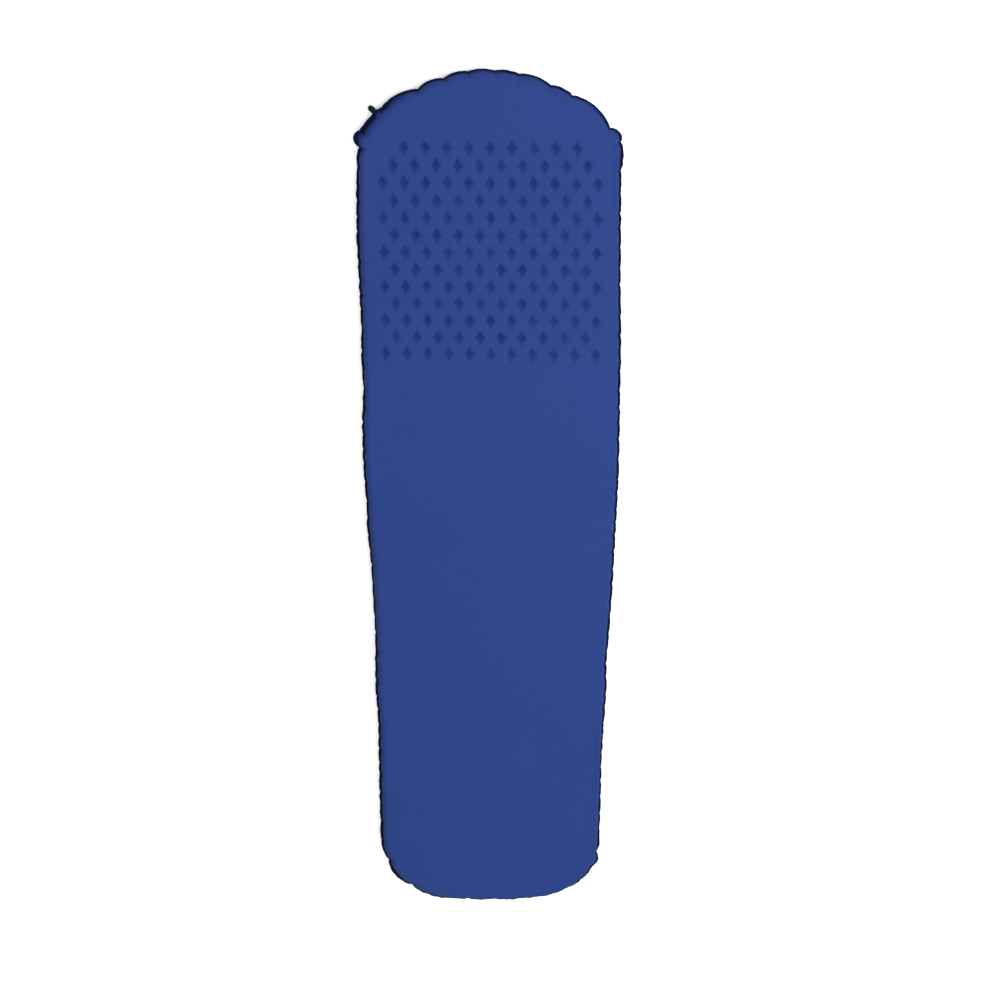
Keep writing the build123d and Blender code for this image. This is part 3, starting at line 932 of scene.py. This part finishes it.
def weave_group() -> bpy.types.NodeTree:
    """Plain weave: warp and weft threads as sines that pass over each other by turns, with uneven threads."""
    graph, start, end = new_group(
        "plain_weave",
        {"Vector": (VECTOR, None), "Threads": (FLOAT, 2000.0), "Slub": (FLOAT, 0.2)},
        {"Height": FLOAT, "Shade": FLOAT},
    )
    split = graph.add("ShaderNodeSeparateXYZ", None, in0=start.outputs["Vector"])
    noise = graph.add("ShaderNodeTexNoise", {"noise_dimensions": "3D"}, Vector=start.outputs["Vector"],
                      Scale=260.0, Detail=2.0)
    wander = graph.math("MULTIPLY", graph.math("SUBTRACT", noise.outputs[0], 0.5), 2.2)
    waves = []
    for axis in (0, 1):
        turns = graph.math("MULTIPLY", split.outputs[axis], start.outputs["Threads"])
        turns = graph.math("ADD", turns, graph.math("MULTIPLY", wander, start.outputs["Slub"]))
        waves.append(graph.math("SINE", graph.math("MULTIPLY", turns, math.pi)))
    over = graph.math("MULTIPLY", waves[0], waves[1])
    rounded = graph.math("MULTIPLY", graph.math("ABSOLUTE", waves[0]), graph.math("ABSOLUTE", waves[1]))
    height = graph.math("ADD", graph.math("MULTIPLY", over, 0.35), graph.math("MULTIPLY", rounded, 0.65))
    slub = graph.add("ShaderNodeTexNoise", {"noise_dimensions": "3D"}, Vector=start.outputs["Vector"],
                     Scale=900.0, Detail=1.0)
    # Low between the threads, where shade is painted in, and uneven with random slubs.
    shade = graph.math("ADD", graph.math("MULTIPLY", rounded, 0.6), graph.math("MULTIPLY", slub.outputs[0], 0.8))
    graph.tree.links.new(height, end.inputs["Height"])
    graph.tree.links.new(shade, end.inputs["Shade"])
    return graph.tree


def patches_group() -> bpy.types.NodeTree:
    """Soft patches: noise at a named scale, spread to a mask from 0 to 1."""
    graph, start, end = new_group(
        "soft_patches",
        {"Vector": (VECTOR, None), "Scale": (FLOAT, 8.0), "Contrast": (FLOAT, 1.5)},
        {"Mask": FLOAT},
    )
    noise = graph.add("ShaderNodeTexNoise", {"noise_dimensions": "3D"}, Vector=start.outputs["Vector"],
                      Scale=start.outputs["Scale"], Detail=3.0, Roughness=0.55)
    centred = graph.math("MULTIPLY", graph.math("SUBTRACT", noise.outputs[0], 0.5), start.outputs["Contrast"])
    mask = graph.add("ShaderNodeClamp", None, in0=graph.math("ADD", centred, 0.5)).outputs[0]
    graph.tree.links.new(mask, end.inputs["Mask"])
    return graph.tree


def cell_group(cells: CellField) -> bpy.types.NodeTree:
    """The diamonds of the foam's cells from Object coordinates: a mask inside each, how far up it, and a number
    of its own for each cell.

    Rows come from y, alternate rows shift by half a pitch, and |x|/a + |y|/b is 1 on a diamond's edge.

    Args:
        cells: The cells' sizes.

    Returns:
        The group.
    """
    graph, start, end = new_group(
        "foam_cells", {"Vector": (VECTOR, None), "Sharp": (FLOAT, 0.50)}, {"Mask": FLOAT, "Upper": FLOAT, "Own": FLOAT}
    )
    split = graph.add("ShaderNodeSeparateXYZ", None, in0=start.outputs["Vector"])
    x, y = split.outputs[0], split.outputs[1]
    rows_down = graph.math("DIVIDE", graph.math("SUBTRACT", cells.first_y, y), cells.pitch_along)
    row = graph.math("MAXIMUM", 0.0, graph.math("MINIMUM", graph.math("ROUND", rows_down), cells.rows - 1.0))
    shift = graph.math("MULTIPLY", graph.math("FLOORED_MODULO", row, 2.0), 0.5)
    columns = graph.math("SUBTRACT", graph.math("DIVIDE", x, cells.pitch_across), shift)
    column = graph.math("ADD", graph.math("ROUND", columns), shift)
    off_x = graph.math("SUBTRACT", x, graph.math("MULTIPLY", column, cells.pitch_across))
    off_y = graph.math("SUBTRACT", graph.math("MULTIPLY", row, cells.pitch_along),
                       graph.math("SUBTRACT", cells.first_y, y))
    reach = graph.math("ADD", graph.math("DIVIDE", graph.math("ABSOLUTE", off_x), cells.half_width),
                       graph.math("DIVIDE", graph.math("ABSOLUTE", off_y), cells.half_length))
    inside = graph.ramp(reach, start.outputs["Sharp"], 1.34, 1.0, 0.0)
    first = graph.math("LESS_THAN", row, 0.5)
    most = graph.math("SUBTRACT", graph.math("SUBTRACT", cells.long_row // 2 + 0.1, shift), first)
    there = graph.math("LESS_THAN", graph.math("ABSOLUTE", column), most)
    graph.tree.links.new(graph.math("MULTIPLY", inside, there), end.inputs["Mask"])
    graph.tree.links.new(graph.ramp(off_y, -cells.half_length, cells.half_length), end.inputs["Upper"])
    cell = graph.add("ShaderNodeCombineXYZ", None, in0=column, in1=row)
    own = graph.add("ShaderNodeTexWhiteNoise", {"noise_dimensions": "2D"}, Vector=cell.outputs[0])
    graph.tree.links.new(own.outputs["Value"], end.inputs["Own"])
    return graph.tree


class Groups:
    """The shader groups that several finishes share, built once."""

    def __init__(self, cells: CellField) -> None:
        """Build the groups.

        Args:
            cells: The cells' sizes.
        """
        self.trees = {"weave": weave_group(), "patches": patches_group(), "cells": cell_group(cells)}

    def place(self, graph: Graph, key: str, **inputs: object) -> bpy.types.Node:
        """Place one of the groups in a material's graph."""
        return graph.add("ShaderNodeGroup", {"node_tree": self.trees[key]}, **inputs)


def start_material(name: str, roughness: float, specular: float) -> (
        tuple[bpy.types.Material, Graph, bpy.types.Node]):
    """A material with a Principled shader whose plain numbers stand on its own sockets.

    Args:
        name: The material's name.
        roughness: Its roughness.
        specular: Its specular level.

    Returns:
        The material, its graph and its shader node.
    """
    material = bpy.data.materials.new(name)
    material.use_nodes = True
    shader = material.node_tree.nodes["Principled BSDF"]
    shader.inputs["Roughness"].default_value = roughness
    shader.inputs["Specular IOR Level"].default_value = specular
    return material, Graph(material.node_tree), shader


def scaled(colour: Colour, factor: float) -> Colour:
    """A colour times a factor."""
    return tuple(factor * c for c in colour)


@dataclass(frozen=True)
class WovenFabric:
    """Woven polyester with cells sunk into it: darker over them, partly its own tone and partly painted shade; painted
    shade towards the rim; a dark edge, partly the fused seam and partly painted shade.
    """

    name: str
    plain: Colour
    pale: Colour
    # Colour over the cells: partly the fabric's own darker tone over the voids, partly painted shade in the hollows.
    cell_tone_and_shade: Colour
    # Dark edge colour, partly the fused seam and partly painted shade; also the colour of the painted shade on the
    # turn-down.
    edge_and_shade_colour: Colour
    threads: float
    cell_shade: float
    roughness: float = 0.66
    specular: float = 0.06
    sheen: float = 0.01

    def _in_the_cells(self, graph: Graph, groups: Groups, place: object, slubs: object, colour: object) -> (
            bpy.types.NodeSocket):
        """Darken the cells, each by its own amount, inside outlines that a noise makes wander a little: partly the
        fabric's own darker tone over the voids, partly painted shade in the hollows, and the upper half of each cell
        darker still as painted shade.

        Args:
            graph: The material's graph.
            groups: The shared groups.
            place: Object coordinates.
            slubs: A mask of small patches.
            colour: The colour outside the cells.

        Returns:
            The colour with the cells in it.
        """
        wander = graph.add("ShaderNodeTexNoise", {"noise_dimensions": "3D"}, Vector=place, Scale=95.0, Detail=2.0)
        moved = graph.add("ShaderNodeVectorMath", {"operation": "MULTIPLY_ADD"}, in0=wander.outputs["Color"],
                          in1=(0.0052, 0.0066, 0.0), in2=place)
        moved = graph.add("ShaderNodeVectorMath", {"operation": "SUBTRACT"}, in0=moved.outputs[0],
                          in1=(0.0026, 0.0033, 0.0))
        cells = groups.place(graph, "cells", Vector=moved.outputs[0])
        # Painted shade: the upper half of each cell darker than the lower.
        upper = graph.ramp(cells.outputs["Upper"], 0.2, 0.8, self.cell_shade * 0.90, self.cell_shade * 1.10)
        amount = graph.math("MULTIPLY", cells.outputs["Mask"], upper)
        amount = graph.math("MULTIPLY", amount, graph.ramp(cells.outputs["Own"], 0.0, 1.0, 0.84, 1.10))
        amount = graph.math("MULTIPLY", amount, graph.ramp(slubs, 0.0, 1.0, 1.15, 0.85))
        return graph.mix(amount, colour, self.cell_tone_and_shade)

    def material(self, groups: Groups) -> bpy.types.Material:
        """Make the material.

        Args:
            groups: The shared groups.

        Returns:
            The material.
        """
        material, graph, shader = start_material(self.name, self.roughness, self.specular)
        shader.inputs["Sheen Weight"].default_value = self.sheen
        place = graph.add("ShaderNodeTexCoord").outputs["Object"]
        cloth = graph.add("ShaderNodeUVMap", {"uv_map": "fabric"}).outputs[0]
        patches = groups.place(graph, "patches", Vector=place, Scale=3.4, Contrast=1.6).outputs["Mask"]
        slubs = groups.place(graph, "patches", Vector=place, Scale=60.0, Contrast=2.0).outputs["Mask"]
        weave = groups.place(graph, "weave", Vector=cloth, Threads=self.threads, Slub=0.22)
        colour = graph.mix(patches, self.plain, self.pale)
        colour = graph.mix(graph.math("MULTIPLY", slubs, 0.14), colour, scaled(self.plain, 0.86))
        # Painted shade in the gaps between the threads, with some random slub.
        between_threads = graph.ramp(weave.outputs["Shade"], 0.25, 0.75, 0.20, 0.0)
        colour = graph.mix(between_threads, colour, scaled(self.plain, 0.6))
        colour = self._in_the_cells(graph, groups, place, slubs, colour)
        # Painted shade on the turn-down, then the dark edge (fused seam and painted shade), both towards the dark edge
        # colour.
        for mask in ("rim_shade", "edge_dark_and_shade"):
            amount = graph.add("ShaderNodeAttribute", {"attribute_name": mask}).outputs["Fac"]
            colour = graph.mix(amount, colour, self.edge_and_shade_colour)
        graph.tree.links.new(colour, shader.inputs["Base Color"])
        rough = graph.ramp(slubs, 0.0, 1.0, self.roughness - 0.06, self.roughness + 0.06)
        graph.tree.links.new(rough, shader.inputs["Roughness"])
        crinkle = graph.add("ShaderNodeTexNoise", {"noise_dimensions": "3D"}, Vector=place, Scale=85.0,
                            Detail=3.0).outputs[0]
        normal = graph.bump(crinkle, 0.10, 0.0012)
        normal = graph.bump(weave.outputs["Height"], 0.35, 0.00010, normal)
        graph.tree.links.new(normal, shader.inputs["Normal"])
        return material


@dataclass(frozen=True)
class WeldedBand:
    """Two skins fused into one band: fabric-coloured inside, dark at the edge partly from the fusing and partly as
    painted shade, with the die's fine cross-hatch.
    """

    plain: Colour
    edge_and_shade_colour: Colour
    roughness: float = 0.6
    specular: float = 0.05
    hatch: float = 1300.0

    def material(self, groups: Groups) -> bpy.types.Material:
        """Make the material.

        Args:
            groups: The shared groups.

        Returns:
            The material.
        """
        material, graph, shader = start_material("fused_band", self.roughness, self.specular)
        place = graph.add("ShaderNodeTexCoord").outputs["Object"]
        cloth = graph.add("ShaderNodeUVMap", {"uv_map": "fabric"}).outputs[0]
        patches = groups.place(graph, "patches", Vector=place, Scale=40.0, Contrast=2.0).outputs["Mask"]
        hatch = groups.place(graph, "weave", Vector=cloth, Threads=self.hatch, Slub=0.1).outputs["Height"]
        edge_dark_and_shade = graph.add("ShaderNodeAttribute", {"attribute_name": "edge_dark_and_shade"}).outputs["Fac"]
        # Dark edge: partly the fused seam and partly painted shade.
        edge = graph.mix(patches, scaled(self.edge_and_shade_colour, 0.7), scaled(self.edge_and_shade_colour, 1.4))
        graph.tree.links.new(graph.mix(edge_dark_and_shade, scaled(self.plain, 0.88), edge), shader.inputs["Base Color"])
        rough = graph.ramp(patches, 0.0, 1.0, self.roughness - 0.1, self.roughness + 0.1)
        graph.tree.links.new(rough, shader.inputs["Roughness"])
        crinkle = graph.add("ShaderNodeTexNoise", {"noise_dimensions": "3D"}, Vector=place, Scale=160.0,
                            Detail=3.0).outputs[0]
        normal = graph.bump(crinkle, 0.25, 0.0010)
        graph.tree.links.new(graph.bump(hatch, 0.5, 0.00015, normal), shader.inputs["Normal"])
        return material


@dataclass(frozen=True)
class OpenCellFoam:
    """Open-cell polyurethane foam: cream, with fine pores painted dark as shade."""

    cream: Colour = (0.62, 0.55, 0.40)
    pale: Colour = (0.70, 0.64, 0.49)
    pore_shade: Colour = (0.30, 0.26, 0.18)

    def material(self, groups: Groups) -> bpy.types.Material:
        """Make the material.

        Args:
            groups: The shared groups.

        Returns:
            The material.
        """
        material, graph, shader = start_material("open_cell_foam", 0.95, 0.1)
        place = graph.add("ShaderNodeTexCoord").outputs["Object"]
        pores = graph.add("ShaderNodeTexVoronoi", {"feature": "F1"}, Vector=place, Scale=1100.0).outputs[0]
        patches = groups.place(graph, "patches", Vector=place, Scale=12.0, Contrast=1.5).outputs["Mask"]
        colour = graph.mix(patches, self.cream, self.pale)
        # Painted shade in the pores.
        colour = graph.mix(graph.ramp(pores, 0.1, 0.5, 0.5, 0.0), colour, self.pore_shade)
        graph.tree.links.new(colour, shader.inputs["Base Color"])
        graph.tree.links.new(graph.bump(pores, 0.6, 0.0006), shader.inputs["Normal"])
        return material


@dataclass(frozen=True)
class Moulding:
    """Moulded plastic or rubber: fine spark-eroded grain, slightly uneven gloss, paler where it is rubbed."""

    name: str
    dark: Colour
    pale: Colour
    roughness: float
    specular: float

    def material(self, groups: Groups) -> bpy.types.Material:
        """Make the material.

        Args:
            groups: The shared groups.

        Returns:
            The material.
        """
        material, graph, shader = start_material(self.name, self.roughness, self.specular)
        place = graph.add("ShaderNodeTexCoord").outputs["Object"]
        patches = groups.place(graph, "patches", Vector=place, Scale=220.0, Contrast=2.2).outputs["Mask"]
        graph.tree.links.new(graph.mix(patches, self.dark, self.pale), shader.inputs["Base Color"])
        rough = graph.ramp(patches, 0.0, 1.0, self.roughness - 0.07, self.roughness + 0.07)
        graph.tree.links.new(rough, shader.inputs["Roughness"])
        grain = graph.add("ShaderNodeTexNoise", {"noise_dimensions": "3D"}, Vector=place, Scale=3200.0,
                          Detail=2.0).outputs[0]
        graph.tree.links.new(graph.bump(grain, 0.35, 0.00008), shader.inputs["Normal"])
        return material


@dataclass(frozen=True)
class StudioFloor:
    """Pale matt floor, barely uneven, which glows a little so that shadows stay light."""

    low: Colour = (0.93, 0.93, 0.93)
    high: Colour = (0.95, 0.95, 0.95)
    glow: float = 0.28

    def material(self, groups: Groups) -> bpy.types.Material:
        """Make the material.

        Args:
            groups: The shared groups.

        Returns:
            The material.
        """
        material, graph, shader = start_material("studio_floor", 0.9, 0.1)
        shader.inputs["Emission Color"].default_value = (1.0, 1.0, 1.0, 1.0)
        shader.inputs["Emission Strength"].default_value = self.glow
        place = graph.add("ShaderNodeTexCoord").outputs["Object"]
        patches = groups.place(graph, "patches", Vector=place, Scale=1.5, Contrast=1.0).outputs["Mask"]
        graph.tree.links.new(graph.mix(patches, self.low, self.high), shader.inputs["Base Color"])
        return material


def dress(piece: bpy.types.Object, material: bpy.types.Material) -> None:
    """Give a piece one material in every slot it has.

    Args:
        piece: The piece, new or carried over.
        material: Its finish.
    """
    if not piece.material_slots:
        piece.data.materials.append(material)
    for slot in piece.material_slots:
        slot.material = material


# ---------------------------------------------------------------------------------------------------------------
# Valve and studio
# ---------------------------------------------------------------------------------------------------------------
@dataclass(frozen=True)
class Valve:
    """The valve's own mouldings, which keep the frame's meshes."""

    moulding: tuple[str, ...] = ("valve_body", "valve_cap")
    plug: tuple[str, ...] = ("plug_post", "valve_screen")
    rubber: tuple[str, ...] = ("neck_seal", "plug_seal")

    def dress(self, groups: Groups) -> None:
        """Give each moulding its finish.

        Args:
            groups: The shared shader groups.
        """
        shell = Moulding("valve_plastic", (0.0006, 0.0026, 0.0120), (0.0016, 0.0048, 0.0190), 0.50, 0.12)
        inner = Moulding("plug_plastic", (0.30, 0.31, 0.33), (0.38, 0.39, 0.41), 0.40, 0.5)
        ring = Moulding("seal_rubber", (0.008, 0.008, 0.009), (0.016, 0.016, 0.018), 0.65, 0.4)
        for names, finish in ((self.moulding, shell), (self.plug, inner), (self.rubber, ring)):
            material = finish.material(groups)
            for name in names:
                dress(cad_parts[name], material)
                log.info("dressed %s", name)


@dataclass(frozen=True)
class Studio:
    """Plain pale floor, soft light from the right and the head end, and the camera high over the head end."""

    camera_at: tuple[float, float, float] = (0.1637, 2.0392, 4.4946)
    aim: tuple[float, float, float] = (0.0188, 0.0352, 0.0125)
    lens: float = 87.8
    light_at: tuple[float, float, float] = (2.4, 1.0, 2.5)
    light_size: float = 2.0
    light_watts: float = 100.0
    sky: float = 1.00
    floor_half: float = 9.0

    def build(self, groups: Groups) -> None:
        """Make the floor, the light, the surroundings and the camera.

        Args:
            groups: The shared shader groups.
        """
        h = self.floor_half
        corners = np.array([(-h, -h, 0.0), (h, -h, 0.0), (h, h, 0.0), (-h, h, 0.0)])
        floor = make_piece("studio_floor", corners - (0, 0, 0.0006), np.array([[0, 1, 2, 3]]))
        dress(floor, StudioFloor().material(groups))

        scene = bpy.context.scene
        scene.view_settings.view_transform = "Standard"
        world = bpy.data.worlds.new("studio")
        world.use_nodes = True
        world.node_tree.nodes["Background"].inputs["Color"].default_value = (1.0, 1.0, 1.0, 1.0)
        world.node_tree.nodes["Background"].inputs["Strength"].default_value = self.sky
        scene.world = world

        lamp = bpy.data.lights.new("soft_box", "AREA")
        lamp.shape = "SQUARE"
        lamp.size = self.light_size
        lamp.energy = self.light_watts
        soft_box = bpy.data.objects.new("soft_box", lamp)
        soft_box.location = self.light_at
        soft_box.rotation_euler = (-Vector(self.light_at)).to_track_quat("-Z", "Y").to_euler()
        scene.collection.objects.link(soft_box)

        data = bpy.data.cameras.new("camera")
        data.lens = self.lens
        data.sensor_width = 36.0
        data.clip_end = 60.0
        camera = bpy.data.objects.new("camera", data)
        back = (Vector(self.camera_at) - Vector(self.aim)).normalized()
        right = Vector((0.0, 1.0, 0.0)).cross(back).normalized()
        up = back.cross(right)
        turn = Matrix((right, up, back)).transposed().to_4x4()
        camera.matrix_world = Matrix.Translation(self.camera_at) @ turn
        scene.collection.objects.link(camera)
        scene.camera = camera


def main() -> None:
    """Build the mattress around the frame, then the studio."""
    logging.basicConfig(level=logging.INFO, format="%(message)s")
    rim = Rim(PadPlan())
    cells = CellField()
    pucker = Pucker(rim, FOOT_NOTCHES)
    neck_low, neck_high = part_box("valve_cap")
    valve = ValveSpot(rim, rim.nearest(*((neck_low + neck_high) / 2).xy))
    groups = Groups(cells)
    samples = rim_samples(pucker, valve, CELL_STRETCH)
    log.info("rim %.3f m round, %d samples", rim.around, len(samples))

    # The second colour is the dark edge, partly the fused seam and partly painted shade, also used for painted shade on
    # the turn-down.
    blue, edge_and_shade_colour = (0.0178, 0.0402, 0.1740), (0.0005, 0.0036, 0.0230)
    face = PadSkin(Side.FACE, rim, pucker, valve, cells, name="face_skin").build(samples)
    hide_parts("top_cover", "top_film")
    dress(face, WovenFabric("face_fabric", plain=blue, pale=(0.0190, 0.0428, 0.1840), cell_tone_and_shade=(0.0006, 0.0130, 0.0780),
                            edge_and_shade_colour=edge_and_shade_colour, threads=2200.0, cell_shade=0.55).material(groups))
    log.info("face_skin: %d faces", len(face.data.polygons))

    under = PadSkin(Side.UNDERSIDE, rim, pucker, valve, cells, dimple=0.0016, inner_rings=36,
                    name="underside_skin").build(samples)
    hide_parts("bottom_cover", "bottom_film")
    dress(under, WovenFabric("underside_fabric", plain=(0.0022, 0.0062, 0.0220), pale=(0.0030, 0.0078, 0.0265),
                             cell_tone_and_shade=(0.0012, 0.0036, 0.0140), edge_and_shade_colour=edge_and_shade_colour, threads=1700.0,
                             cell_shade=0.40).material(groups))
    log.info("underside_skin: %d faces", len(under.data.polygons))

    band = RimBand(rim, pucker, valve).build(samples)
    dress(band, WeldedBand(blue, edge_and_shade_colour).material(groups))
    log.info("rim_band: %d faces", len(band.data.polygons))

    dress(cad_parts["foam_core"], OpenCellFoam().material(groups))
    Valve().dress(groups)
    Studio().build(groups)


if __name__ == "__main__":
    main()
